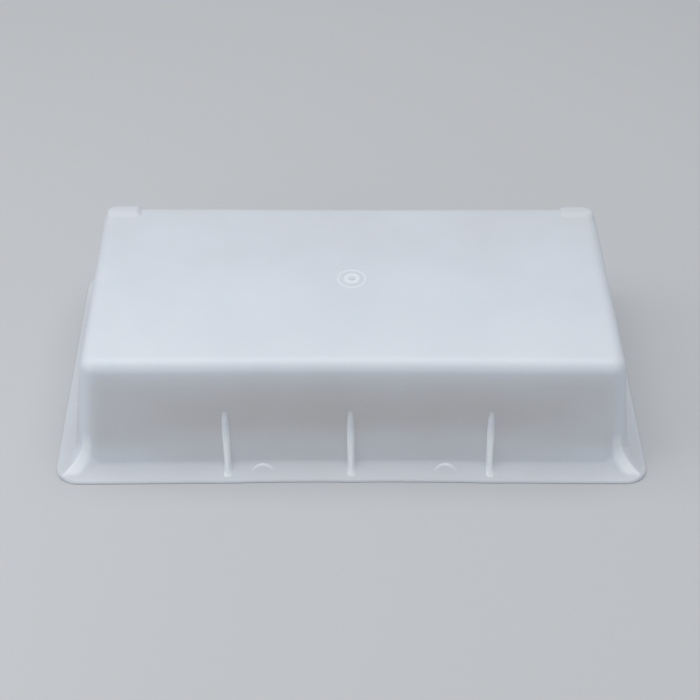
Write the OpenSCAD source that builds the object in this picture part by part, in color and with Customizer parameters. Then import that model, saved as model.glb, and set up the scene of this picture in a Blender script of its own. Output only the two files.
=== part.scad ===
// Flared-rim propagation tray and dome, moulded in one shot, shown rim down with its base on top.
// Every node is one zone of the moulding. The zones share one wall section and meet face to face.
// X runs along the length, the front faces -Y, and z = 0 is the plane that the rim rests on.

/* [Rim] */
// Length over the rim
rim_len = 540; // [440:1:640]
// Width over the rim
rim_wid = 293; // [230:1:380]
// Outside radius of the rim's corners
rim_corner_r = 21; // [14:0.5:26]
// Width of the upright lip at the rim's edge
lip_w = 3.2; // [2.4:0.1:4.5]
// Height of the lip along the straight sides
lip_h = 3.4; // [2.8:0.1:5]
// Step down from the lip to the flange
lip_step = 0.8; // [0.4:0.1:1.4]

/* [Flange] */
// Distance from the rim's edge in to the wall, at the foot of the wall
flange_w = 16; // [13:0.5:24]
// Height at which the flange meets the wall
flange_h = 10.5; // [8:0.5:20]
// Sag of the dished flange below a straight slope
flange_sag = 0.6; // [0.2:0.1:1.2]

/* [Tray body] */
// Height of the base panel's outer face above the rim plane
tub_h = 118; // [90:1:160]
// Draft of the walls
draft = 8; // [5:0.5:12]
// Thickness of the moulding
skin = 2.2; // [1.6:0.1:3]
// Outside radius of the edge between base and walls
base_edge_r = 12.5; // [8:0.5:18]
// Radius of the flat base panel's own corners
panel_corner_r = 1.5; // [0.5:0.5:8]

/* [Stiffening ribs] */
// Width of a rib
rib_w = 4.4; // [3:0.2:6]
// Height at which a rib fades into the wall
rib_top = 67; // [45:1:78]
// Height over which the rib's upper end fades out
rib_fade = 5; // [3:0.5:9]
// How far a rib stands off the wall below its fade
rib_proud = 2.2; // [1.4:0.1:3.4]
// Distance from the rim's edge to the rib's toe on the flange
rib_toe = 4.4; // [4:0.2:8]
// Place of the left rib along the length
rib_left_x = -113; // [-150:1:-90]
// Place of the middle rib along the length
rib_middle_x = -1; // [-20:1:20]
// Place of the right rib along the length
rib_right_x = 125; // [110:1:150]

/* [Half-moon pads] */
// Radius of a pad
pad_r = 12.5; // [8:0.5:14]
// How far a pad stands off the straight line of the flange
pad_proud = 0.9; // [0.4:0.1:1.6]
// Clear flange between a pad and the wall
pad_gap = 1; // [0.6:0.1:2.5]
// Distance of each pad from the middle of the length
pad_x = 83; // [60:1:92]

/* [Back corner feet] */
// Length of a foot along the back
foot_len = 32; // [20:1:40]
// Depth of a foot towards the front
foot_depth = 18; // [14:1:30]
// Height of a foot above the base panel
foot_h = 2.7; // [2:0.1:5]
// How far a foot reaches out over the rounded edge
foot_over = 6.3; // [3:0.1:7.5]
// Depth of the level top, from which the wedge runs down to the panel
foot_flat = 8; // [6:0.5:12]
// Run of the ramp at a foot's inner end
foot_ramp = 5.6; // [1:0.2:8]

/* [Gate mark] */
// How far the gate lies behind the middle of the base
gate_back = 3.5; // [0:0.5:8]
// Radius of the inner ring
gate_ring_r = 7.3; // [5:0.1:9]
// Radius of the outer ring
gate_halo_r = 14.3; // [11:0.1:18]
// Width of each ring
gate_ring_w = 1.1; // [0.6:0.1:1.6]
// Height of the rings
gate_ring_h = 0.5; // [0.3:0.1:0.8]
// Radius of the gate stub in the middle
gate_stub_r = 1.8; // [1.2:0.1:2.6]

/* [Hidden] */

polypropylene = "#e6eaf0";
ARC_STEPS = 10;
FLARE_STEPS = 8;
RIB_STEPS = 10;
ROUND_FN = 64;
BELOW = 10; // how far cutting shapes run past the face they cut

// Height of the flange's upper face at the lip, and the slope and bend of its dished line
flange_toe = lip_h - lip_step;
flange_run = flange_w - lip_w;
flange_rise = flange_h - flange_toe;
flare_bend = 4 * flange_sag / pow(flange_run, 2);
flare_slope = flange_rise / flange_run - flare_bend * flange_run;
flange_tilt = atan2(flange_rise, flange_run);
flange_drop = skin / cos(flange_tilt);

// The base edge is a round tangent to the panel and to the drafted wall
edge_z = tub_h - base_edge_r;
tangent_z = edge_z + base_edge_r * sin(draft);
tangent_d = flange_w + (tangent_z - flange_h) * tan(draft);
edge_d = tangent_d + base_edge_r * cos(draft);
// All four upright corners turn about vertical axes that stand this far in from the rim's edges
reach = edge_d + panel_corner_r;
axis_x = rim_len / 2 - reach;
axis_y = rim_wid / 2 - reach;

// The flange planes run on inwards until they are inside the rounded corners of the walls
flare_in = flange_w + (reach - flange_w) / 2;
flare_top = flare(flare_in);

foot_out = panel_corner_r + foot_over;
foot_in = foot_len - foot_out;
foot_front = foot_depth - foot_out;

// Sections are drawn as (d, z): d runs inwards from the rim's edge, z upwards from the rim plane
function flare(d) = flange_toe + flare_slope * (d - lip_w) + flare_bend * pow(d - lip_w, 2);
function wall_d(z) = flange_w + (z - flange_h) * tan(draft);
function flare_line(rise) = [for (i = [0:FLARE_STEPS]) let (d = flare_in * i / FLARE_STEPS) [d, flare(d) + rise]];
function edge_arc(r) = [for (i = [0:ARC_STEPS]) let (a = 90 - (90 - draft) * i / ARC_STEPS)
    [edge_d - r * cos(a), edge_z + r * sin(a)]];
function flip(points) = [for (i = [len(points) - 1:-1:0]) points[i]];
function bend(a, b, c, t) = (1 - t) * (1 - t) * a + 2 * t * (1 - t) * b + t * t * c;

// The moulding's section from the panel, round the base edge and down the wall to the rim plane
module wall_section() {
    side = skin / cos(draft);
    polygon(concat([[reach, tub_h]], edge_arc(base_edge_r), [[wall_d(0), 0], [wall_d(0) + side, 0]],
        flip(edge_arc(base_edge_r - skin)), [[reach, tub_h - skin]]));
}

// The same section filled in to the corner axis
module solid_section() {
    polygon(concat([[reach, tub_h]], edge_arc(base_edge_r), [[wall_d(0), 0], [reach, 0]]));
}

// Everything that lies under the flared line, shifted up by rise
module under_flare_section(rise) {
    polygon(concat([[0, -BELOW]], flare_line(rise), [[reach, flare_top + rise], [reach, -BELOW]]));
}

module flange_section() {
    intersection() {
        difference() {
            under_flare_section(0);
            under_flare_section(-flange_drop);
        }
        square([flare_in, flare_top]);
    }
}

// Places a (d, z) section along the front side, the right side and the front right corner
module along_front(length) {
    translate([0, -rim_wid / 2, 0]) rotate([90, 0, 90]) linear_extrude(length, center = true) children();
}

module along_right(length) {
    translate([rim_len / 2, 0, 0]) mirror([1, 0, 0]) rotate([90, 0, 0])
        linear_extrude(length, center = true) children();
}

module round_front_right() {
    translate([axis_x, -axis_y, 0]) rotate([0, 0, -90])
        rotate_extrude(angle = 90, $fn = ROUND_FN) from_corner_axis() children();
}

// Turns a (d, z) section round so that it is measured from the corner axis
module from_corner_axis() {
    intersection() {
        translate([reach, 0]) mirror([1, 0]) children();
        square([reach, tub_h]);
    }
}

module to_back() {
    mirror([0, 1, 0]) children();
}

module to_left() {
    mirror([1, 0, 0]) children();
}

// A whole cross section of the space under the flare, from edge to edge
module hip_section(half, rise) {
    near = [for (p = flare_line(rise)) [p[0] - half, p[1]]];
    far = [for (p = flare_line(rise)) [half - p[0], p[1]]];
    polygon(concat([[-half, -BELOW]], near, flip(far), [[half, -BELOW]]));
}

// The hipped solid under the four flared planes, which cross on mitre lines at the corners
module under_flare(rise) {
    intersection() {
        rotate([90, 0, 90]) linear_extrude(rim_len, center = true) hip_section(rim_wid / 2, rise);
        rotate([90, 0, 0]) linear_extrude(rim_wid, center = true) hip_section(rim_len / 2, rise);
    }
}

// The tray body's outline as one filled solid, used to trim what lies against the walls or the base
module solid_body() {
    rotate([90, 0, 90]) linear_extrude(2 * axis_x, center = true) body_section(rim_wid / 2);
    rotate([90, 0, 0]) linear_extrude(2 * axis_y, center = true) body_section(rim_len / 2);
    for (x = [-1, 1], y = [-1, 1]) translate([x * axis_x, y * axis_y, 0])
        rotate_extrude($fn = ROUND_FN) from_corner_axis() solid_section();
}

module body_section(half) {
    side = concat([[wall_d(0), 0]], flip(edge_arc(base_edge_r)));
    near = [for (p = side) [p[0] - half, p[1]]];
    far = [for (p = side) [half - p[0], p[1]]];
    polygon(concat(near, flip(far)));
}

// The outline of the rim, set in from the edge
module rim_plan(inset) {
    r = rim_corner_r - inset;
    x = rim_len / 2 - rim_corner_r;
    y = rim_wid / 2 - rim_corner_r;
    square([2 * (x + r), 2 * y], center = true);
    square([2 * x, 2 * (y + r)], center = true);
    for (sx = [-1, 1], sy = [-1, 1]) translate([sx * x, sy * y]) circle(r = r, $fn = ROUND_FN);
}

// Flat panel that is the tray's base
module base_panel() {
    color(polypropylene) translate([-axis_x, -axis_y, tub_h - skin]) cube([2 * axis_x, 2 * axis_y, skin]);
}

// Long wall with its rounded base edge
module front_wall() {
    color(polypropylene) along_front(2 * axis_x) difference() {
        wall_section();
        under_flare_section(-flange_drop);
    }
}

module back_wall() {
    to_back() front_wall();
}

// Short wall with its rounded base edge
module right_wall() {
    color(polypropylene) along_right(2 * axis_y) difference() {
        wall_section();
        under_flare_section(-flange_drop);
    }
}

module left_wall() {
    to_left() right_wall();
}

// Upright corner between two walls, which widens towards the rim with the draft
module front_right_corner() {
    color(polypropylene) difference() {
        round_front_right() wall_section();
        under_flare(-flange_drop);
    }
}

module front_left_corner() {
    to_left() front_right_corner();
}

module back_right_corner() {
    to_back() front_right_corner();
}

module back_left_corner() {
    to_back() front_left_corner();
}

// Flared flange panel, its ends cut on 45 degree mitre lines that a plan outline gives
module flange_panel(plan) {
    color(polypropylene) difference() {
        intersection() {
            children();
            linear_extrude(flare_top) intersection() {
                rim_plan(lip_w);
                polygon(plan);
            }
        }
        solid_body();
    }
}

module front_flange() {
    mitre_x = (rim_len - rim_wid) / 2;
    flange_panel([[-rim_len / 2, -rim_wid / 2], [rim_len / 2, -rim_wid / 2], [mitre_x, 0], [-mitre_x, 0]])
        along_front(rim_len) flange_section();
}

module back_flange() {
    to_back() front_flange();
}

module right_flange() {
    mitre_x = (rim_len - rim_wid) / 2;
    flange_panel([[rim_len / 2, -rim_wid / 2], [rim_len / 2, rim_wid / 2], [mitre_x, 0]])
        along_right(rim_wid) flange_section();
}

module left_flange() {
    to_left() right_flange();
}

// Upright lip along a straight side
module front_lip() {
    color(polypropylene) along_front(rim_len - 2 * rim_corner_r) square([lip_w, lip_h]);
}

module back_lip() {
    to_back() front_lip();
}

module right_lip() {
    color(polypropylene) along_right(rim_wid - 2 * rim_corner_r) square([lip_w, lip_h]);
}

module left_lip() {
    to_left() right_lip();
}

// Lip round a corner: it climbs with the flange where the round cuts across the mitre
module front_right_lip() {
    color(polypropylene) intersection() {
        translate([rim_len / 2 - rim_corner_r, -rim_wid / 2 + rim_corner_r, 0]) rotate([0, 0, -90])
            rotate_extrude(angle = 90, $fn = ROUND_FN)
                translate([rim_corner_r - lip_w, 0]) square([lip_w, flare_top]);
        union() {
            translate([0, -rim_wid / 2, 0]) cube([rim_len / 2, rim_wid / 2, lip_h]);
            under_flare(lip_step);
        }
    }
}

module front_left_lip() {
    to_left() front_right_lip();
}

module back_right_lip() {
    to_back() front_right_lip();
}

module back_left_lip() {
    to_back() front_left_lip();
}

// Rib that runs down the wall and out over the flange
module front_rib(x) {
    fade_z = rib_top - rib_fade;
    knee_z = flange_h + rib_proud;
    start = [wall_d(fade_z) - rib_proud, fade_z];
    knee = [wall_d(knee_z) - rib_proud, knee_z];
    toe = [rib_toe, flare(rib_toe)];
    edge = [for (i = [0:RIB_STEPS]) bend(start, knee, toe, i / RIB_STEPS)];
    color(polypropylene) translate([x, 0, 0]) along_front(rib_w) difference() {
        polygon(concat([[wall_d(rib_top), rib_top]], edge, [[rib_toe, 0], [edge_d, 0], [edge_d, rib_top]]));
        under_flare_section(0);
        solid_section();
    }
}

module front_rib_left() {
    front_rib(rib_left_x);
}

module front_rib_middle() {
    front_rib(rib_middle_x);
}

module front_rib_right() {
    front_rib(rib_right_x);
}

module back_rib_left() {
    to_back() front_rib(rib_left_x);
}

module back_rib_middle() {
    to_back() front_rib(rib_middle_x);
}

module back_rib_right() {
    to_back() front_rib(rib_right_x);
}

// Wedge-shaped foot on a back corner of the base, moulded over the rounded edge: its top is level
// near the edge, runs down to the panel towards the front and is ramped at its inner end
module back_right_foot() {
    color(polypropylene) difference() {
        translate([axis_x, axis_y, 0]) intersection() {
            linear_extrude(tub_h + foot_h) {
                translate([-foot_in, -foot_front]) square([foot_in, foot_depth]);
                translate([0, -foot_front]) square([foot_out, foot_front]);
                circle(r = foot_out, $fn = ROUND_FN);
            }
            rotate([90, 0, 0]) linear_extrude(2 * foot_depth, center = true) foot_section(foot_in, foot_ramp);
            rotate([90, 0, 90]) linear_extrude(2 * foot_len, center = true)
                foot_section(foot_front, foot_depth - foot_flat);
        }
        solid_body();
    }
}

// A foot from the side, from its inner end on one side of the corner axis, with its slope over that run
module foot_section(inner, run) {
    top_z = tub_h + foot_h;
    polygon([[-inner, edge_z], [-inner, tub_h], [run - inner, top_z], [foot_out, top_z], [foot_out, edge_z]]);
}

module back_left_foot() {
    to_left() back_right_foot();
}

// Half-moon pad on the flange, just below the wall
module front_pad(x) {
    slide = pad_r + pad_gap;
    color(polypropylene) difference() {
        intersection() {
            translate([x, -rim_wid / 2 + flange_w, flange_h]) rotate([flange_tilt, 0, 0])
                translate([0, -slide, -skin]) cylinder(h = skin + pad_proud, r = pad_r, $fn = ROUND_FN);
            translate([x - pad_r, -rim_wid / 2 + lip_w + pad_gap, 0])
                cube([2 * pad_r, flange_w, flange_h + skin]);
        }
        along_front(rim_len) under_flare_section(0);
    }
}

module front_pad_left() {
    front_pad(-pad_x);
}

module front_pad_right() {
    front_pad(pad_x);
}

module back_pad_left() {
    to_back() front_pad(-pad_x);
}

module back_pad_right() {
    to_back() front_pad(pad_x);
}

// Stub left by the gate in the middle of the base, with two plain raised rings round it
module gate_mark() {
    color(polypropylene) translate([0, gate_back, tub_h]) {
        cylinder(h = 2 * gate_ring_h, r = gate_stub_r, $fn = ROUND_FN);
        for (r = [gate_ring_r, gate_halo_r]) difference() {
            cylinder(h = gate_ring_h, r = r, $fn = ROUND_FN);
            translate([0, 0, -BELOW]) cylinder(h = 2 * BELOW, r = r - gate_ring_w, $fn = ROUND_FN);
        }
    }
}

base_panel();
front_wall();
back_wall();
left_wall();
right_wall();
front_left_corner();
front_right_corner();
back_left_corner();
back_right_corner();
front_flange();
back_flange();
left_flange();
right_flange();
front_lip();
back_lip();
left_lip();
right_lip();
front_left_lip();
front_right_lip();
back_left_lip();
back_right_lip();
front_rib_left();
front_rib_middle();
front_rib_right();
back_rib_left();
back_rib_middle();
back_rib_right();
back_left_foot();
back_right_foot();
front_pad_left();
front_pad_right();
back_pad_left();
back_pad_right();
gate_mark();
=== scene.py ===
import math

import bmesh
import bpy
import numpy as np
from mathutils import Matrix, Vector


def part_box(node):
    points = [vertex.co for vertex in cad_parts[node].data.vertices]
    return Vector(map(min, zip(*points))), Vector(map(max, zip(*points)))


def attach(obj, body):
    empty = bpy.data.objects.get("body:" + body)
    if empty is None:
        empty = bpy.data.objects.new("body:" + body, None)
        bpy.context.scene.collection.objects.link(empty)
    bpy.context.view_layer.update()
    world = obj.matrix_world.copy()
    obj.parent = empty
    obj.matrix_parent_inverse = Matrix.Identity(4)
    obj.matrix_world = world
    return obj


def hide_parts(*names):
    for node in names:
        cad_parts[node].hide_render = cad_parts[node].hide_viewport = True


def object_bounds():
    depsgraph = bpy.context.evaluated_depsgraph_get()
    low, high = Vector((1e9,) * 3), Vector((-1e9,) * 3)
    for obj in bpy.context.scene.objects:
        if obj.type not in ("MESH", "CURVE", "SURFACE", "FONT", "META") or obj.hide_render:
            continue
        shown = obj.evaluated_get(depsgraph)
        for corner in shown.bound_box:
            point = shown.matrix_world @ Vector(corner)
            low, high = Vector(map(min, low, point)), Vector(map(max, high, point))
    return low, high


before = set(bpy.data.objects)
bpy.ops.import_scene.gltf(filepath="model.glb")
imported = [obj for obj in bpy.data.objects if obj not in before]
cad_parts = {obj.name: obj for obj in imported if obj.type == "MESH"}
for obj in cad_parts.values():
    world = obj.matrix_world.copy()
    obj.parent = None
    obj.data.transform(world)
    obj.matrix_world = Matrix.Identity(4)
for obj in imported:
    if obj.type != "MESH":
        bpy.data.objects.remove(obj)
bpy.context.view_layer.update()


# The tray is one injection moulding in natural white polypropylene, about 2.2 mm thick, lying rim down.
# Its skin is a single closed sheet: base panel, rounded base edge, drafted walls, dished flange and
# rolled lip, and the same again on the inside. It stands for every CAD zone that it runs through.

MM = 0.001

rim_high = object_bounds()[1]
panel_low, panel_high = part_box("base_panel")
lip_low, lip_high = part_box("front_lip")
corner_lip_low, corner_lip_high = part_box("front_right_lip")

# The flat panel ends at the upright axes that the corners turn about, REACH in from the rim's straight
# edges. A place on the flange or the wall is given as its inset from the rim's edge.
HALF_LENGTH = rim_high[0]
HALF_WIDTH = rim_high[1]
AXIS_X = panel_high[0]
AXIS_Y = panel_high[1]
BASE_Z = panel_high[2]
SKIN = panel_high[2] - panel_low[2]
REACH = HALF_LENGTH - AXIS_X
RIM_ROUND = corner_lip_high[0] - corner_lip_low[0]
LIP_WIDTH = lip_high[1] - lip_low[1]
LIP_HEIGHT = lip_high[2]

DRAFT = math.radians(8)
BASE_EDGE_ROUND = 12.5 * MM
FLANGE_WIDTH = 16 * MM
FLANGE_HEIGHT = 10.5 * MM
FLANGE_SAG = 0.6 * MM
LIP_STEP = 0.8 * MM
JUNCTION_FILLET = 2.2 * MM
CORNER_FILLET = 9 * MM
CORNER_FILLET_FOCUS = 1.5
MITRE_SOFTNESS = 1.5 * MM

EDGE_Z = BASE_Z - BASE_EDGE_ROUND
TANGENT_Z = EDGE_Z + BASE_EDGE_ROUND * math.sin(DRAFT)
TANGENT_INSET = FLANGE_WIDTH + (TANGENT_Z - FLANGE_HEIGHT) * math.tan(DRAFT)
EDGE_INSET = TANGENT_INSET + BASE_EDGE_ROUND * math.cos(DRAFT)
FLANGE_TOE = LIP_HEIGHT - LIP_STEP
FLANGE_RUN = FLANGE_WIDTH - LIP_WIDTH
FLANGE_RISE = FLANGE_HEIGHT - FLANGE_TOE
FLANGE_ANGLE = math.atan2(FLANGE_RISE, FLANGE_RUN)
FLARE_BEND = 4 * FLANGE_SAG / FLANGE_RUN ** 2
FLARE_SLOPE = FLANGE_RISE / FLANGE_RUN - FLARE_BEND * FLANGE_RUN
FLANGE_DROP = SKIN / math.cos(FLANGE_ANGLE)
WALL_SIDE = SKIN / math.cos(DRAFT)


def flare(inset):
    """Height of the flange's upper face at a distance in from the rim's edge."""
    run = inset - LIP_WIDTH
    return FLANGE_TOE + FLARE_SLOPE * run + FLARE_BEND * run ** 2


def wall_inset(z):
    """Distance of the wall's outer face in from the rim's edge."""
    return FLANGE_WIDTH + (z - FLANGE_HEIGHT) * math.tan(DRAFT)


def hip_inset(x, y):
    """Distance in from the nearer pair of rim edges, blended a little where two sides meet."""
    across = HALF_LENGTH - abs(x)
    along = HALF_WIDTH - abs(y)
    gap = abs(across - along) / MITRE_SOFTNESS
    return min(across, along) - MITRE_SOFTNESS * math.log1p(math.exp(-gap))


# The shell is laid out in columns that run from the panel down to the rim. A column is given by a
# point on the panel's edge, and by the direction in which it leaves it. Round a corner the columns
# stand closest at the mitre.
COLUMNS_ALONG_FRONT = 58
COLUMNS_ALONG_RIGHT = 27
COLUMNS_ROUND_CORNER = 41
MITRE_CROWDING = 1.6


def shell_columns():
    """Columns round one quarter: along the front to the right, round the corner, along the right."""
    front = [(x, -AXIS_Y, 0.0, -1.0) for x in np.linspace(0, AXIS_X, COLUMNS_ALONG_FRONT)]
    right = [(AXIS_X, y, 1.0, 0.0) for y in np.linspace(-AXIS_Y, 0, COLUMNS_ALONG_RIGHT)]
    corner = []
    for t in np.linspace(0, 1, COLUMNS_ROUND_CORNER)[1:-1]:
        before_mitre = 1 - 2 * t
        share = 0.5 - 0.5 * math.copysign(abs(before_mitre) ** MITRE_CROWDING, before_mitre)
        turn = math.radians(90 * share - 90)
        corner.append((AXIS_X, -AXIS_Y, math.cos(turn), math.sin(turn)))
    return front, corner, right


def rim_point(column, inset):
    """The point on the rim's outline, set in by inset, that a column runs out to."""
    x, y, nx, ny = column
    if nx == 0.0 or ny == 0.0:
        return x + nx * (REACH - inset), y + ny * (REACH - inset)
    centre_x = HALF_LENGTH - RIM_ROUND
    centre_y = -HALF_WIDTH + RIM_ROUND
    radius = RIM_ROUND - inset
    straight = centre_x - AXIS_X
    arc = math.pi / 4 * radius
    share = 1 - abs(math.degrees(math.atan2(ny, nx)) + 45) / 45
    walked = share * (straight + arc)
    front_side = -ny > nx
    if walked < straight:
        along_front = (AXIS_X + walked, -HALF_WIDTH + inset)
        along_right = (HALF_LENGTH - inset, -AXIS_Y - walked)
        return along_front if front_side else along_right
    turn = (walked - straight) / radius
    angle = -math.pi / 2 + turn if front_side else -turn
    return centre_x + radius * math.cos(angle), centre_y + radius * math.sin(angle)


SEARCH_TOP = 60 * MM
SEARCH_HALVINGS = 40


def meeting_height(column, wall_in, drop):
    """Height at which a column's wall, moved in by wall_in, meets the flange, moved down by drop."""
    x, y, nx, ny = column
    low, high = 0.0, SEARCH_TOP
    for _ in range(SEARCH_HALVINGS):
        z = (low + high) / 2
        out = REACH - wall_inset(z) - wall_in
        if flare(hip_inset(x + nx * out, y + ny * out)) - drop > z:
            low = z
        else:
            high = z
    return (low + high) / 2


BASE_EDGE_POINTS = 13
WALL_POINTS = 14
FILLET_POINTS = 11
FLANGE_POINTS = 12


def base_edge(column, radius):
    """The rounded edge between panel and wall."""
    x, y, nx, ny = column
    for turn in np.linspace(math.pi / 2, DRAFT, BASE_EDGE_POINTS):
        out = REACH - EDGE_INSET + radius * math.cos(turn)
        yield x + nx * out, y + ny * out, EDGE_Z + radius * math.sin(turn)


def fillet_of(column):
    """How far the fillet between wall and flange reaches, which grows where the corner fans out."""
    return JUNCTION_FILLET + CORNER_FILLET * abs(2 * column[2] * column[3]) ** CORNER_FILLET_FOCUS


def curve_point(before, corner, after, t):
    """The point at share t of a curve from before to after, pulled towards the corner between them."""
    return tuple((1 - t) ** 2 * b + 2 * t * (1 - t) * c + t ** 2 * a
                 for b, c, a in zip(before, corner, after))


# How the lip rolls over from the flange to the upright edge, as millimetres in from the rim's outline
# and down from the flange's toe, and how it turns under to the face that the tray rests on, as
# millimetres in and up. Before the lip the flange lifts a little to meet the roll, and inside the tray
# it ends at the lip's heel, a little further in than the lip.
LIP_ROLL = [(2.5, 0.10), (1.8, 0.30), (1.2, 0.62), (0.7, 1.04), (0.32, 1.55), (0.08, 2.15), (0.0, 2.7)]
LIP_UNDER = [(0.0, 0.45), (0.12, 0.14), (0.4, 0.0), (1.6, 0.0), (2.9, 0.0), (3.3, 0.1)]
TOE_LIFT = 0.15 * MM
TOE_REACH = 4 * MM
LIP_HEEL = 0.4 * MM


def wall_and_flange(column, wall_in, drop, rim_inset, toe_lift):
    """One face of the moulding from the base edge down the wall and out over the flange."""
    x, y, nx, ny = column
    fillet = fillet_of(column)
    meet_z = meeting_height(column, wall_in, drop)

    def on_wall(z):
        out = REACH - wall_inset(z) - wall_in
        return x + nx * out, y + ny * out, z

    meet = on_wall(meet_z)
    end = rim_point(column, rim_inset)
    length = math.hypot(end[0] - meet[0], end[1] - meet[1])

    def on_flange(distance):
        share = distance / length
        px = meet[0] + (end[0] - meet[0]) * share
        py = meet[1] + (end[1] - meet[1]) * share
        rest = max(0.0, 1 - (length - distance) / TOE_REACH)
        return px, py, max(0.0, flare(hip_inset(px, py)) - drop + toe_lift * rest ** 2)

    for z in np.linspace(TANGENT_Z, meet_z + fillet, WALL_POINTS)[1:-1]:
        yield on_wall(z)
    for t in np.linspace(0, 1, FILLET_POINTS):
        yield curve_point(on_wall(meet_z + fillet), meet, on_flange(fillet), t)
    for distance in np.linspace(fillet, length, FLANGE_POINTS)[1:]:
        yield on_flange(distance)


def shell_line(column):
    """All points of a column, from the panel's edge over the outside and back up the inside."""
    x, y = column[:2]
    line = [(x, y, BASE_Z)]
    line += base_edge(column, BASE_EDGE_ROUND)
    line += wall_and_flange(column, 0.0, 0.0, LIP_WIDTH, TOE_LIFT)
    toe = line[-1][2]
    for inset, drop in LIP_ROLL:
        line.append((*rim_point(column, inset * MM), toe - drop * MM))
    for inset, height in LIP_UNDER:
        line.append((*rim_point(column, inset * MM), height * MM))
    inside = list(wall_and_flange(column, WALL_SIDE, FLANGE_DROP, LIP_WIDTH + LIP_HEEL, 0.0))
    line += reversed(inside)
    line += reversed(list(base_edge(column, BASE_EDGE_ROUND - SKIN)))
    line.append((x, y, BASE_Z - SKIN))
    return line


# A long-sided moulding pulls inwards as it cools: most between the ribs, which hold the wall out, and
# more at the rim than at the base, and the panel sinks a little. All pieces follow this same shape.
BOW_AT_RIM = 2.6 * MM
BOW_AT_BASE = 1.5 * MM
BOW_REACH = HALF_LENGTH - 10 * MM
PANEL_SAG = 0.8 * MM
RIB_HOLD = 0.5 * MM
RIB_HOLD_REACH = 17 * MM
RIB_HOLD_FADE = 1 * MM
RIB_PLACES = [(low[0] + high[0]) / 2 for low, high in
              (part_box("front_rib_" + place) for place in ("left", "middle", "right"))]


def settled(point):
    """Where a point of the ideal moulding lies once it has cooled."""
    x, y, z = point
    share = min(1.0, abs(x) / BOW_REACH)
    height = min(1.0, max(0.0, z / BASE_Z))
    bow = (BOW_AT_RIM + (BOW_AT_BASE - BOW_AT_RIM) * height) * math.cos(math.pi / 2 * share) ** 2
    held = sum(math.exp(-((x - place) / RIB_HOLD_REACH) ** 2) for place in RIB_PLACES)
    bow = max(0.0, bow - RIB_HOLD * held * (1 - height) * min(1.0, bow / RIB_HOLD_FADE))
    bow *= min(1.0, abs(y) / AXIS_Y)
    sunk = 0.0
    if z > EDGE_Z:
        sunk = PANEL_SAG * max(0.0, 1 - (x / AXIS_X) ** 2) * max(0.0, 1 - (y / AXIS_Y) ** 2)
    return x, y - math.copysign(bow, y), z - sunk


def step_up(value, start, end):
    """0 below start and 1 above end, with a soft step between them."""
    t = min(1.0, max(0.0, (value - start) / (end - start)))
    return t * t * (3 - 2 * t)


def between(value, start, full, past, end):
    """1 from full to past, fading to 0 at start and at end."""
    return step_up(value, start, full) * (1 - step_up(value, past, end))


# Painted light and shade on the skin, from 0 for the most painted shade to 1 for the most painted light.
# Most of the tray has the middling tone. The walls get painted shade, most of all halfway up the long
# ones, but some of it is taken off low down, more so near the ends, and all of it at the corner posts.
# The flange gets painted shade too. A fan at the mitre of each long flange gets painted light, and the
# panel gets a little painted light towards the front and painted shade towards the back. The ranges in
# which these come and go are in millimetres.
MIDDLING = 0.5
WALL_SHADE = 0.22
WALL_HEIGHTS = (7, 15, 92, 116)
LOW_REGAIN = 0.17
LOW_REGAIN_LOST = 0.12
LOW_TOP = 40
LOW_FADE = 20
BELLY_SHADE = 0.16
BELLY_HEIGHTS = (34, 60, 68, 108)
AWAY_FROM_ENDS = (45, 150)
POST_TO_WALL = (0, 24)
FLANGE_SHADE = 0.12
FLANGE_TO_WALL = (7, 14)
FAN_LIGHT = 0.84
FAN_ACROSS = (-1.5, 1, 9, 23)
FAN_HEIGHTS = (2, 6, 24, 60)
FAN_SIDE_FADE = 6
LONG_SIDE_FADE = 1
FORWARD_GAIN = 0.1
WALL_TO_PANEL = (112, 118)


def painted_light_and_shade(point):
    """The painted light and shade at a point of the ideal moulding, as a share from shade to light."""
    x, y, z = (abs(value) / MM for value in point)
    on_long_side = step_up(y, AXIS_Y / MM - LONG_SIDE_FADE, AXIS_Y / MM + LONG_SIDE_FADE)
    from_end = step_up(HALF_LENGTH / MM - x, *AWAY_FROM_ENDS)
    low = step_up(LOW_TOP - z, 0, LOW_FADE)
    wall = between(z, *WALL_HEIGHTS) * (WALL_SHADE - low * (LOW_REGAIN - LOW_REGAIN_LOST * from_end))
    wall += between(z, *BELLY_HEIGHTS) * from_end * BELLY_SHADE
    flange = (1 - step_up(z, *FLANGE_TO_WALL)) * FLANGE_SHADE
    past_mitre = (HALF_LENGTH / MM - x) - (HALF_WIDTH / MM - y)
    wall *= step_up(abs(past_mitre), *POST_TO_WALL)
    outside = step_up(x, AXIS_X / MM - FAN_SIDE_FADE, AXIS_X / MM + FAN_SIDE_FADE) * on_long_side
    fan = FAN_LIGHT * between(past_mitre, *FAN_ACROSS) * between(z, *FAN_HEIGHTS) * outside
    forward = -FORWARD_GAIN * point[1] / AXIS_Y * step_up(z, *WALL_TO_PANEL)
    return min(1.0, max(0.0, max(MIDDLING - wall - flange, fan) + forward))


def mirrored(line, flip_x, flip_y):
    """The same line on another quarter of the tray."""
    return [(-x if flip_x else x, -y if flip_y else y, z) for x, y, z in line]


def ring_of_lines():
    """The lines of all columns once round the tray, from the front's middle to the right and round."""
    front, corner, right = ([shell_line(column) for column in group] for group in shell_columns())
    quarter = front + corner + right
    ring = list(quarter)
    ring += [mirrored(line, False, True) for line in reversed(quarter[:-1])]
    ring += [mirrored(line, True, True) for line in quarter[1:]]
    ring += [mirrored(line, True, False) for line in reversed(quarter[1:-1])]
    return ring


def vertex_with_painted_light(bm, point):
    """A vertex of the settled skin that carries the painted light and shade of its ideal point."""
    vertex = bm.verts.new(settled(point))
    vertex[bm.verts.layers.float["painted_light_and_shade"]] = painted_light_and_shade(point)
    return vertex


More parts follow.
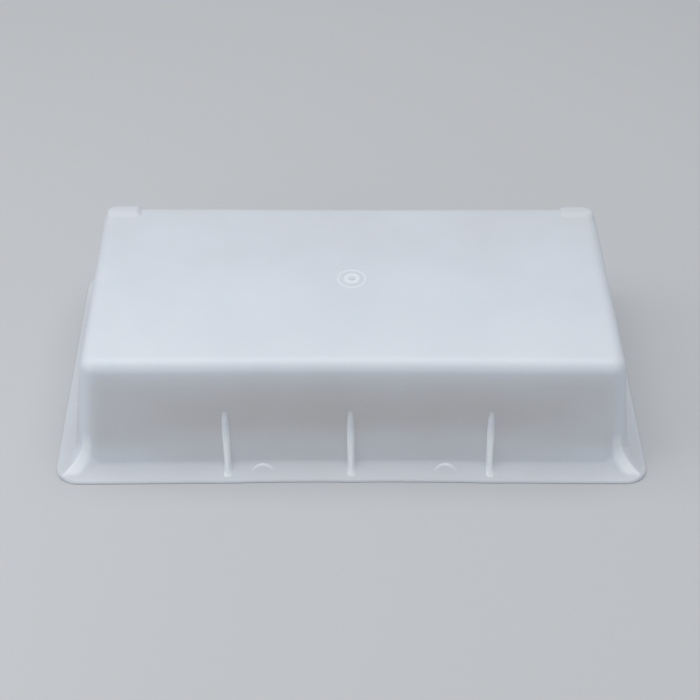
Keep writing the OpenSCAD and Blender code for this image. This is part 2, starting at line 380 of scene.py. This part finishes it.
def faces_between(bm, lines, lines_close=False, points_close=False):
    """Joins neighbouring lines of vertices into a sheet. It may also close from the last line to the
    first, and from the last point of each line to its first."""
    followers = lines[1:] + lines[:1] if lines_close else lines[1:]
    for here, after in zip(lines, followers):
        for k in range(len(here) if points_close else len(here) - 1):
            nxt = (k + 1) % len(here)
            bm.faces.new([here[k], here[nxt], after[nxt], after[k]])


def panel_faces(bm, z, upwards):
    """The flat middle of the panel, as a grid whose border has the same points as the columns."""
    xs = [*np.linspace(-AXIS_X, 0, COLUMNS_ALONG_FRONT), *np.linspace(0, AXIS_X, COLUMNS_ALONG_FRONT)[1:]]
    ys = [*np.linspace(-AXIS_Y, 0, COLUMNS_ALONG_RIGHT), *np.linspace(0, AXIS_Y, COLUMNS_ALONG_RIGHT)[1:]]
    grid = [[vertex_with_painted_light(bm, (x, y, z)) for y in ys] for x in xs]
    for i in range(len(xs) - 1):
        for j in range(len(ys) - 1):
            face = [grid[i][j], grid[i + 1][j], grid[i + 1][j + 1], grid[i][j + 1]]
            bm.faces.new(face if upwards else face[::-1])


WELD_GAP = 0.5e-6
LEAST_EDGE = 1e-7


def finished_mesh(bm, name, sharp_degrees=None):
    """Turns a bmesh into a smooth-shaded object."""
    bmesh.ops.remove_doubles(bm, verts=bm.verts, dist=WELD_GAP)
    bmesh.ops.dissolve_degenerate(bm, edges=bm.edges, dist=LEAST_EDGE)
    bmesh.ops.recalc_face_normals(bm, faces=bm.faces)
    mesh = bpy.data.meshes.new(name)
    bm.to_mesh(mesh)
    bm.free()
    mesh.shade_smooth()
    if sharp_degrees is not None:
        mesh.set_sharp_from_angle(angle=math.radians(sharp_degrees))
    piece = bpy.data.objects.new(name, mesh)
    bpy.context.scene.collection.objects.link(piece)
    return piece


def tray_shell():
    """The outside, the lip and the inside as one closed sheet."""
    bm = bmesh.new()
    bm.verts.layers.float.new("painted_light_and_shade")
    ring = [[vertex_with_painted_light(bm, point) for point in line] for line in ring_of_lines()]
    faces_between(bm, ring, lines_close=True)
    panel_faces(bm, BASE_Z, True)
    panel_faces(bm, BASE_Z - SKIN, False)
    return finished_mesh(bm, "tray_shell")


def linear(code):
    """An sRGB hex colour as the linear values that a shader takes."""
    parts = [int(code[k:k + 2], 16) / 255 for k in (1, 3, 5)]
    return [c / 12.92 if c <= 0.04045 else ((c + 0.055) / 1.055) ** 2.4 for c in parts] + [1.0]


def add(tree, kind, values=None, links=None, **settings):
    """Adds a shader node with its settings, its socket values and the sockets that feed it."""
    made = tree.nodes.new(kind)
    for name, value in settings.items():
        setattr(made, name, value)
    for socket, value in (values or {}).items():
        made.inputs[socket].default_value = value
    for socket, source in (links or {}).items():
        tree.links.new(source, made.inputs[socket])
    return made


# Natural polypropylene from a steel mould with a fine spark-eroded finish: milky, slightly bluish, with
# a satin skin. Its colour runs from a grey of painted shade through its own colour to a white of painted
# light, as each piece's painted light and shade says. Wide soft clouds come from the melt's flow and slow
# waves from uneven cooling. The grain, really about 0.1 mm, is drawn at 0.7 mm so that it shows.
PAINTED_SHADE_HEX = "#BCB8B8"
MIDDLING_HEX = "#D8DFE8"
PAINTED_LIGHT_HEX = "#F1F6FB"
CLOUD_SIZE = 90 * MM
CLOUD_TINT = 0.04
GRAIN_SIZE = 0.7 * MM
GRAIN_DEPTH = 0.05 * MM
WAVE_SIZE = 28 * MM
WAVE_DEPTH = 0.4 * MM
SCATTER = 3 * MM


def moulded_polypropylene(name, painted_tone=None, seen_through=0.0):
    """The plastic, with a fixed painted tone, or with the painted light and shade that the mesh carries."""
    material = bpy.data.materials.new(name)
    material.use_nodes = True
    tree = material.node_tree
    tree.nodes.clear()
    place = add(tree, "ShaderNodeTexCoord").outputs["Object"]
    clouds = add(tree, "ShaderNodeTexNoise", {"Scale": 1 / CLOUD_SIZE, "Detail": 3.0, "Roughness": 0.55},
                 {"Vector": place}).outputs["Fac"]
    grain = add(tree, "ShaderNodeTexNoise", {"Scale": 1 / GRAIN_SIZE, "Detail": 2.0}, {"Vector": place})
    waves = add(tree, "ShaderNodeTexNoise", {"Scale": 1 / WAVE_SIZE, "Detail": 1.0}, {"Vector": place})
    if painted_tone is None:
        amount = add(tree, "ShaderNodeAttribute", attribute_name="painted_light_and_shade").outputs["Fac"]
    else:
        amount = add(tree, "ShaderNodeValue").outputs["Value"]
        amount.default_value = painted_tone
    cloudy = add(tree, "ShaderNodeMapRange",
                 {"From Min": 0.3, "From Max": 0.7, "To Min": -CLOUD_TINT, "To Max": CLOUD_TINT},
                 {"Value": clouds})
    total = add(tree, "ShaderNodeMath", links={0: amount, 1: cloudy.outputs["Result"]}, operation="ADD")
    tint = add(tree, "ShaderNodeValToRGB", links={"Fac": total.outputs["Value"]})
    tint.color_ramp.elements[0].color = linear(PAINTED_SHADE_HEX)
    tint.color_ramp.elements[1].color = linear(PAINTED_LIGHT_HEX)
    tint.color_ramp.elements.new(MIDDLING).color = linear(MIDDLING_HEX)
    sheen = add(tree, "ShaderNodeMapRange", {"To Min": 0.36, "To Max": 0.5}, {"Value": clouds})
    rough = add(tree, "ShaderNodeBump", {"Strength": 0.10, "Distance": GRAIN_DEPTH},
                {"Height": grain.outputs["Fac"]})
    uneven = add(tree, "ShaderNodeBump", {"Strength": 0.25, "Distance": WAVE_DEPTH},
                 {"Height": waves.outputs["Fac"], "Normal": rough.outputs["Normal"]})
    plastic = add(tree, "ShaderNodeBsdfPrincipled",
                  {"IOR": 1.49, "Subsurface Weight": seen_through, "Subsurface Scale": SCATTER,
                   "Subsurface Radius": (0.9, 1.0, 1.1)},
                  {"Base Color": tint.outputs["Color"], "Roughness": sheen.outputs["Result"],
                   "Normal": uneven.outputs["Normal"]})
    add(tree, "ShaderNodeOutputMaterial", links={"Surface": plastic.outputs["BSDF"]})
    return material


def part_of_tray(piece, material, *nodes):
    """The finish, body and CAD zones of a piece of the moulding."""
    piece.data.materials.append(material)
    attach(piece, "root")
    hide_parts(*nodes)


sides = ("front", "back", "left", "right")
corners = ("front_left", "front_right", "back_left", "back_right")
skin_polypropylene = moulded_polypropylene("moulded_polypropylene_skin", seen_through=0.15)
part_of_tray(tray_shell(), skin_polypropylene, "base_panel",
             *(side + "_wall" for side in sides), *(corner + "_corner" for corner in corners),
             *(side + "_flange" for side in sides), *(place + "_lip" for place in sides + corners))


# Stiffening ribs stand on the long walls: solid rounded beads of the same shot, which thin out into the
# wall at the top and swing out over the flange to its toe. They lean slightly, and thicken downwards.
rib_low, rib_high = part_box("front_rib_left")
RIB_WIDTH = rib_high[0] - rib_low[0]
RIB_TOP = rib_high[2]
RIB_TOE = HALF_WIDTH + rib_low[1]
RIB_PROUD = 2.2 * MM
RIB_FADE = 5 * MM
RIB_ROOT = 0.6 * MM
RIB_LEAN = 1.5 * MM
RIB_POINTS = 46

# A rib starts with this painted shade and this share of its width, and over this length down it swells
# and its painted light grows to the lightest tone.
RIB_TOP_SHADE = 0.32
RIB_TOP_SHARE = 0.7
RIB_GAIN_REACH = 28 * MM
RIB_SWELL = 0.15

# Shares of a rib's length at which its crest leaves the top, has risen in full and sinks to the toe.
CREST_START = 0.07
RISE_END = 0.15
TOE_START = 0.97

# The arch of a rib's section. A higher fullness makes it squarer, and the flare widens its root.
ARCH_POINTS = 17
ARCH_FULLNESS = 3.2
ARCH_FLARE = 0.3


def rib_line():
    """Root and crest of a rib from top to toe, as distances in from the rim's edge and heights, and how
    fully it stands out there."""
    fade_z = RIB_TOP - RIB_FADE
    knee_z = FLANGE_HEIGHT + RIB_PROUD
    start = (wall_inset(fade_z) - RIB_PROUD, fade_z)
    knee = (wall_inset(knee_z) - RIB_PROUD, knee_z)
    toe = (RIB_TOE, flare(RIB_TOE))
    wall_length = (RIB_TOP - FLANGE_HEIGHT) / math.cos(DRAFT)
    flange_length = math.hypot(FLANGE_WIDTH - RIB_TOE, FLANGE_HEIGHT - toe[1])
    for share in np.linspace(0, 1, RIB_POINTS):
        walked = share * (wall_length + flange_length)
        if walked < wall_length:
            z = RIB_TOP - walked * math.cos(DRAFT)
            root = (wall_inset(z), z)
        else:
            inset = FLANGE_WIDTH + (RIB_TOE - FLANGE_WIDTH) * (walked - wall_length) / flange_length
            root = (inset, flare(inset))
        crest = curve_point(start, knee, toe, max(0.0, (share - CREST_START) / (1 - CREST_START)))
        rise = math.sin(math.pi / 2 * min(1.0, share / RISE_END)) ** 3
        rise *= 1 - max(0.0, (share - TOE_START) / (1 - TOE_START)) ** 3
        yield root, (root[0] + (crest[0] - root[0]) * rise, root[1] + (crest[1] - root[1]) * rise), rise


def rib(name, x, back):
    """A bead swept down the wall. Its section is a rounded arch with a small flare at the root."""
    bm = bmesh.new()
    painted_tone = bm.verts.layers.float.new("painted_light_and_shade")
    arch = [(u, (1 - abs(u) ** ARCH_FULLNESS) ** 0.5)
            for u in np.sin(np.linspace(-math.pi / 2, math.pi / 2, ARCH_POINTS))]
    rows = []
    for root, crest, full in rib_line():
        lean = (crest[0] - root[0], crest[1] - root[1])
        # Further down the rib swells, and its painted light grows.
        gain = step_up(RIB_TOP - root[1], 0.0, RIB_GAIN_REACH)
        swell = 1 + RIB_SWELL * gain
        root_half = RIB_WIDTH / 2 * (RIB_TOP_SHARE + (1 - RIB_TOP_SHARE) * full)
        middle = x - RIB_LEAN * root[1] / RIB_TOP
        row = []
        for u, rise in arch:
            half = root_half * (1.0 + ARCH_FLARE * (1 - rise) ** 3) * swell
            row.append((middle + u * half, root[0] + lean[0] * rise, root[1] + lean[1] * rise))
        row.append((middle + RIB_WIDTH / 2, root[0] + RIB_ROOT, root[1] - RIB_ROOT))
        row.append((middle - RIB_WIDTH / 2, root[0] + RIB_ROOT, root[1] - RIB_ROOT))
        rows.append([bm.verts.new(settled((px, -HALF_WIDTH + inset, z))) for px, inset, z in row])
        for vertex in rows[-1]:
            vertex[painted_tone] = RIB_TOP_SHADE + (1 - RIB_TOP_SHADE) * gain
    faces_between(bm, rows, points_close=True)
    bm.faces.new(rows[0])
    bm.faces.new(rows[-1][::-1])
    if back:
        bmesh.ops.scale(bm, vec=(1, -1, 1), verts=bm.verts)
    return finished_mesh(bm, name, sharp_degrees=50)


rib_polypropylene = moulded_polypropylene("moulded_polypropylene_rib")
for place, rib_x in zip(("left", "middle", "right"), RIB_PLACES):
    for side in ("front", "back"):
        name = side + "_rib_" + place
        part_of_tray(rib(name + "_bead", rib_x, side == "back"), rib_polypropylene, name)


# Half-moon ejector pads lie on the long flanges close under the wall, both a little right of an even
# spacing. They are part of the shot: the upper arc stands proud as a soft crescent, with a painted
# highlight, that fades to its ends, and the lower side runs out level into the flange.
pad_low, pad_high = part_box("front_pad_right")
PAD_ROUND = (pad_high[0] - pad_low[0]) / 2
PAD_X = (pad_high[0] + pad_low[0]) / 2
PAD_PROUD = 0.9 * MM
PAD_GAP = 1.0 * MM
PAD_EDGE = 2.0 * MM
PAD_SHIFT = 1.6 * MM
PAD_SUNK = 0.05 * MM
PAD_ROOT = 0.6 * MM
PAD_HUB = 0.25
PAD_TURNS = 37
PAD_TOP_POINTS = 7
PAD_EDGE_POINTS = 8

# The pad's face has a painted shade like the flange's, and the crescent adds a painted highlight, coming in
# between these shares of the radius. Higher fades bring its painted highlight and its height down sooner
# towards its two ends.
PAD_SHADE = 0.38
CRESCENT_HIGHLIGHT = 0.55
CRESCENT_EDGE = (0.76, 0.86)
CRESCENT_FADE = 2.2
PROUD_FADE = 1.5


def pad(name, x, back):
    """A half disc laid on the flange, with its straight side down the slope."""
    bm = bmesh.new()
    painted_tone = bm.verts.layers.float.new("painted_light_and_shade")
    middle = FLANGE_WIDTH - (PAD_ROUND + PAD_GAP) * math.cos(FLANGE_ANGLE)

    def on_flange(radius, turn, proud):
        inset = middle + radius * math.sin(turn) * math.cos(FLANGE_ANGLE)
        return (x + radius * math.cos(turn), -HALF_WIDTH + inset - proud * math.sin(FLANGE_ANGLE),
                flare(inset) + proud * math.cos(FLANGE_ANGLE))

    top_share = 1 - PAD_EDGE / PAD_ROUND
    shares = [0.0, *np.linspace(PAD_HUB, top_share, PAD_TOP_POINTS),
              *np.linspace(top_share, 1, PAD_EDGE_POINTS)[1:]]
    rows = []
    for turn in np.linspace(0, math.pi, PAD_TURNS):
        row = []
        for share in shares:
            edge = min(1.0, (1 - share) * PAD_ROUND / PAD_EDGE)
            arc = max(0.0, math.sin(turn)) ** PROUD_FADE * share
            proud = PAD_PROUD * math.sin(math.pi / 2 * edge) * arc - PAD_SUNK
            row.append(bm.verts.new(settled(on_flange(share * PAD_ROUND, turn, proud))))
            # The crescent's painted highlight, on top of the face's painted shade.
            crescent = arc ** CRESCENT_FADE * step_up(share, *CRESCENT_EDGE)
            row[-1][painted_tone] = PAD_SHADE + CRESCENT_HIGHLIGHT * crescent
        for share in (1.0, 0.0):
            row.append(bm.verts.new(settled(on_flange(share * PAD_ROUND, turn, -PAD_ROOT))))
        rows.append(row)
    faces_between(bm, rows)
    bm.faces.new(rows[0][::-1])
    bm.faces.new(rows[-1])
    if back:
        bmesh.ops.scale(bm, vec=(1, -1, 1), verts=bm.verts)
    return finished_mesh(bm, name, sharp_degrees=60)


pad_polypropylene = moulded_polypropylene("moulded_polypropylene_pad")
for place, pad_x in (("left", -PAD_X), ("right", PAD_X)):
    for side in ("front", "back"):
        name = side + "_pad_" + place
        part_of_tray(pad(name + "_moon", pad_x + PAD_SHIFT, side == "back"), pad_polypropylene, name)


# Two low feet stand on the back corners of the base, in the same shot. Each is a short bar along the
# back: level near the edge, and running down into the base towards the front and at its inner end, with
# soft edges all round.
foot_low, foot_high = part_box("back_right_foot")
FOOT_TOP = foot_high[2]
FOOT_OUT = foot_high[0] - AXIS_X
FOOT_IN = AXIS_X - foot_low[0]
FOOT_FRONT = AXIS_Y - foot_low[1]
FOOT_FLAT = 8 * MM
FOOT_RAMP = 5.6 * MM
FOOT_SOFT = 3.0 * MM
FOOT_SPREAD = 2.4 * MM
FOOT_SUNK = 0.1 * MM
FOOT_ROOT = 0.5 * MM
# The foot's tone is a painted shade, which keeps its lit top and ramps no lighter than the panel round it.
FOOT_SHADE = 0.37

# The lines of a foot's grid, as shares of its sides, crowd towards the edges where it rolls over.
FOOT_EDGE_SHARES = [0, 0.012, 0.03, 0.055, 0.09, 0.13]
FOOT_MIDDLE_SHARES = np.linspace(0.18, 0.82, 15)


def body_top(across, along):
    """Height of the moulding's outer face near the back right corner, from the corner axis."""
    out = math.hypot(max(0.0, across), max(0.0, along)) - (REACH - EDGE_INSET)
    if out <= 0:
        return BASE_Z
    return EDGE_Z + math.sqrt(max(0.0, BASE_EDGE_ROUND ** 2 - out ** 2))


def foot(name, mirror):
    """A soft-edged wedge that follows the base's rounded corner, closed underneath."""
    bm = bmesh.new()
    length = FOOT_IN + FOOT_OUT + FOOT_SPREAD
    depth = FOOT_FRONT + FOOT_OUT
    widening = 1 + FOOT_SPREAD / FOOT_OUT
    shares = [*FOOT_EDGE_SHARES, *FOOT_MIDDLE_SHARES, *(1 - share for share in reversed(FOOT_EDGE_SHARES))]
    rows = []
    for a in shares:
        row = []
        for b in shares:
            across = -FOOT_IN + a * length
            along = -FOOT_FRONT + b * depth
            reach = math.hypot(max(0.0, across) / widening, max(0.0, along))
            if reach > FOOT_OUT:
                across *= FOOT_OUT / reach if across > 0 else 1
                along *= FOOT_OUT / reach if along > 0 else 1
                reach = FOOT_OUT
            slope = step_up(across + FOOT_IN, 0, FOOT_RAMP)
            slope *= step_up(along + FOOT_FRONT, 0, depth - FOOT_FLAT)
            roll = min(1.0, (FOOT_OUT - reach) / FOOT_SOFT)
            rolled = FOOT_SOFT * (1 - math.sqrt(max(0.0, 1 - (1 - roll) ** 2)))
            body = body_top(across, along) - FOOT_SUNK
            top = body + max(0.0, FOOT_TOP - rolled - body) * slope
            row.append((AXIS_X + across, AXIS_Y + along, top, body - FOOT_ROOT))
        rows.append(row)
    upper = [[bm.verts.new(settled((x, y, z))) for x, y, z, _ in row] for row in rows]
    lower = [[bm.verts.new(settled((x, y, z))) for x, y, _, z in row] for row in rows]
    last = len(shares) - 1
    for i in range(last):
        for j in range(last):
            bm.faces.new([upper[i][j], upper[i + 1][j], upper[i + 1][j + 1], upper[i][j + 1]])
            bm.faces.new([lower[i][j], lower[i][j + 1], lower[i + 1][j + 1], lower[i + 1][j]])
    border = [(i, 0) for i in range(last)] + [(last, j) for j in range(last)] + \
        [(i, last) for i in range(last, 0, -1)] + [(0, j) for j in range(last, 0, -1)]
    for (i, j), (m, n) in zip(border, border[1:] + border[:1]):
        bm.faces.new([upper[i][j], lower[i][j], lower[m][n], upper[m][n]])
    if mirror:
        bmesh.ops.scale(bm, vec=(-1, 1, 1), verts=bm.verts)
    return finished_mesh(bm, name, sharp_degrees=35)


foot_polypropylene = moulded_polypropylene("moulded_polypropylene_foot", FOOT_SHADE)
part_of_tray(foot("back_right_foot_wedge", False), foot_polypropylene, "back_right_foot")
part_of_tray(foot("back_left_foot_wedge", True), foot_polypropylene, "back_left_foot")


# The mould fills through a gate in the middle of the base. It leaves a small stub of the same plastic,
# with two plain raised rings round it, all with softly rounded tops that carry a painted highlight.
gate_low, gate_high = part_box("gate_mark")
GATE_OUTER = gate_high[0]
GATE_Y = (gate_low[1] + gate_high[1]) / 2
GATE_INNER = 7.8 * MM
GATE_DISH = 3.0 * MM
GATE_RING = 3.4 * MM
GATE_RISE = (gate_high[2] - BASE_Z) / 2
GATE_ROOT = 0.4 * MM
STUB_ROUND = 1.8 * MM
STUB_MIDDLE = 0.05 * MM
STUB_RISE = 2 * GATE_RISE
STUB_SHOULDER = 0.55
STUB_FIRST_TURN = 0.12
STUB_POINTS = 8


def turned(bm, outline, gain, steps=64):
    """Adds a closed band: an outline of radius and height pairs turned about the gate's middle."""
    painted_tone = bm.verts.layers.float.active
    rows = []
    for k in range(steps):
        turn = 2 * math.pi * k / steps
        rows.append([bm.verts.new(settled((r * math.cos(turn), GATE_Y + r * math.sin(turn), BASE_Z + h)))
                     for r, h in outline])
        for vertex, (_, h) in zip(rows[-1], outline):
            # Higher points get more painted highlight.
            vertex[painted_tone] = MIDDLING + gain * min(1.0, max(0.0, h / GATE_RISE))
    faces_between(bm, rows, lines_close=True, points_close=True)


def raised_ring(bm, inner, outer, rise, slimness, points, gain):
    """A ring between two radii, whose rounded top is slimmer with a higher slimness."""
    half = (outer - inner) / 2
    crown = [(outer - half - half * math.cos(t), rise * math.sin(t) ** slimness)
             for t in np.linspace(0, math.pi, points)]
    turned(bm, crown + [(outer, -GATE_ROOT), (inner, -GATE_ROOT)], gain)


def gate_mark():
    """The two rings and the stub, which starts a hair from its own middle."""
    bm = bmesh.new()
    bm.verts.layers.float.new("painted_light_and_shade")
    raised_ring(bm, inner=GATE_OUTER - GATE_RING, outer=GATE_OUTER, rise=0.7 * GATE_RISE,
                slimness=1.5, points=13, gain=0.25)
    raised_ring(bm, inner=GATE_DISH, outer=GATE_INNER, rise=GATE_RISE,
                slimness=0.8, points=15, gain=0.3)
    dome = [(STUB_ROUND * math.sin(t), STUB_RISE * (STUB_SHOULDER + (1 - STUB_SHOULDER) * math.cos(t)))
            for t in np.linspace(STUB_FIRST_TURN, math.pi / 2, STUB_POINTS)]
    stub = [(STUB_MIDDLE, STUB_RISE)] + dome + [(STUB_ROUND, -GATE_ROOT), (STUB_MIDDLE, -GATE_ROOT)]
    turned(bm, stub, gain=0.1, steps=32)
    return finished_mesh(bm, "gate_rings", sharp_degrees=50)


gate_polypropylene = moulded_polypropylene("moulded_polypropylene_gate")
part_of_tray(gate_mark(), gate_polypropylene, "gate_mark")


# The studio: a pale seamless paper floor that catches a soft shadow, under one broad lamp overhead and
# one high on the left. Weaker ones low in front and near the front corners lift the walls a little, so
# that they fall off softly from the bright base.
FLOOR_HEX = "#C9CBCE"
FLOOR_REACH = 6.0
FLOOR_DROP = 0.3 * MM
FIBRE_SIZE = 3 * MM
FIBRE_DEPTH = 0.1 * MM


def studio_floor():
    """A square sheet of matt paper just under the rim."""
    mesh = bpy.data.meshes.new("studio_floor")
    mesh.from_pydata([(FLOOR_REACH * x, FLOOR_REACH * y, 0) for x, y in ((-1, -1), (1, -1), (1, 1), (-1, 1))],
                     [], [(0, 1, 2, 3)])
    floor = bpy.data.objects.new("studio_floor", mesh)
    bpy.context.scene.collection.objects.link(floor)
    material = bpy.data.materials.new("matt_studio_paper")
    material.use_nodes = True
    tree = material.node_tree
    tree.nodes.clear()
    place = add(tree, "ShaderNodeTexCoord").outputs["Object"]
    fibre = add(tree, "ShaderNodeTexNoise", {"Scale": 1 / FIBRE_SIZE, "Detail": 2.0}, {"Vector": place})
    bump = add(tree, "ShaderNodeBump", {"Strength": 0.05, "Distance": FIBRE_DEPTH},
               {"Height": fibre.outputs["Fac"]})
    paper = add(tree, "ShaderNodeBsdfPrincipled",
                {"Base Color": linear(FLOOR_HEX), "Roughness": 0.9, "Specular IOR Level": 0.2},
                {"Normal": bump.outputs["Normal"]})
    add(tree, "ShaderNodeOutputMaterial", links={"Surface": paper.outputs["BSDF"]})
    mesh.materials.append(material)
    floor.location.z = -FLOOR_DROP


studio_floor()

MIDDLE = (0.0, 0.0, 0.06)


def softbox(name, place, width, height, watts):
    """A white rectangular lamp that faces the middle of the tray."""
    lamp = bpy.data.lights.new(name, "AREA")
    lamp.shape = "RECTANGLE"
    lamp.size = width
    lamp.size_y = height
    lamp.energy = watts
    holder = bpy.data.objects.new(name, lamp)
    holder.location = place
    holder.rotation_euler = (Vector(MIDDLE) - Vector(place)).to_track_quat("-Z", "Y").to_euler()
    bpy.context.scene.collection.objects.link(holder)


softbox("overhead", place=(0.0, 0.1, 2.2), width=2.2, height=1.8, watts=21.6)
softbox("left_high", place=(-1.6, 0.0, 1.6), width=1.4, height=1.4, watts=6.9)
softbox("front_low", place=(0.0, -2.3, 0.6), width=1.8, height=0.8, watts=2.2)
softbox("near_left", place=(-0.75, -0.55, 0.45), width=0.5, height=0.5, watts=0.7)
softbox("near_right", place=(0.75, -0.55, 0.45), width=0.5, height=0.5, watts=0.3)

AIR_HEX = "#F7F9FC"
AIR_STRENGTH = 0.44

world = bpy.data.worlds.new("studio_air")
bpy.context.scene.world = world
world.use_nodes = True
air = world.node_tree
air.nodes.clear()
ambient = add(air, "ShaderNodeBackground", {"Color": linear(AIR_HEX), "Strength": AIR_STRENGTH})
add(air, "ShaderNodeOutputWorld", links={"Surface": ambient.outputs["Background"]})


# The camera looks down on the front of the tray through a moderately long lens, from a little to the
# left, and is tipped slightly so that the tray hangs about one degree to the right.
CAMERA_DISTANCE = 1.510
LENS = 79.55
SENSOR_WIDTH = 36.0
AZIMUTH = math.radians(-1.30)
ELEVATION = math.radians(43.24)
ROLL = math.radians(0.901)
SWING = math.radians(0.024)
TILT = math.radians(0.861)

lens = bpy.data.cameras.new("camera")
lens.lens = LENS
lens.sensor_width = SENSOR_WIDTH
lens.clip_start = 0.05
camera = bpy.data.objects.new("camera", lens)
bpy.context.scene.collection.objects.link(camera)
stand = Matrix.Rotation(AZIMUTH, 4, "Z") @ Matrix.Rotation(math.pi / 2 - ELEVATION, 4, "X")
camera.matrix_world = stand @ Matrix.Translation((0, 0, CAMERA_DISTANCE)) @ \
    Matrix.Rotation(ROLL, 4, "Z") @ Matrix.Rotation(SWING, 4, "Y") @ Matrix.Rotation(TILT, 4, "X")
bpy.context.scene.camera = camera
bpy.context.scene.view_settings.view_transform = "Standard"

bpy.context.view_layer.update()
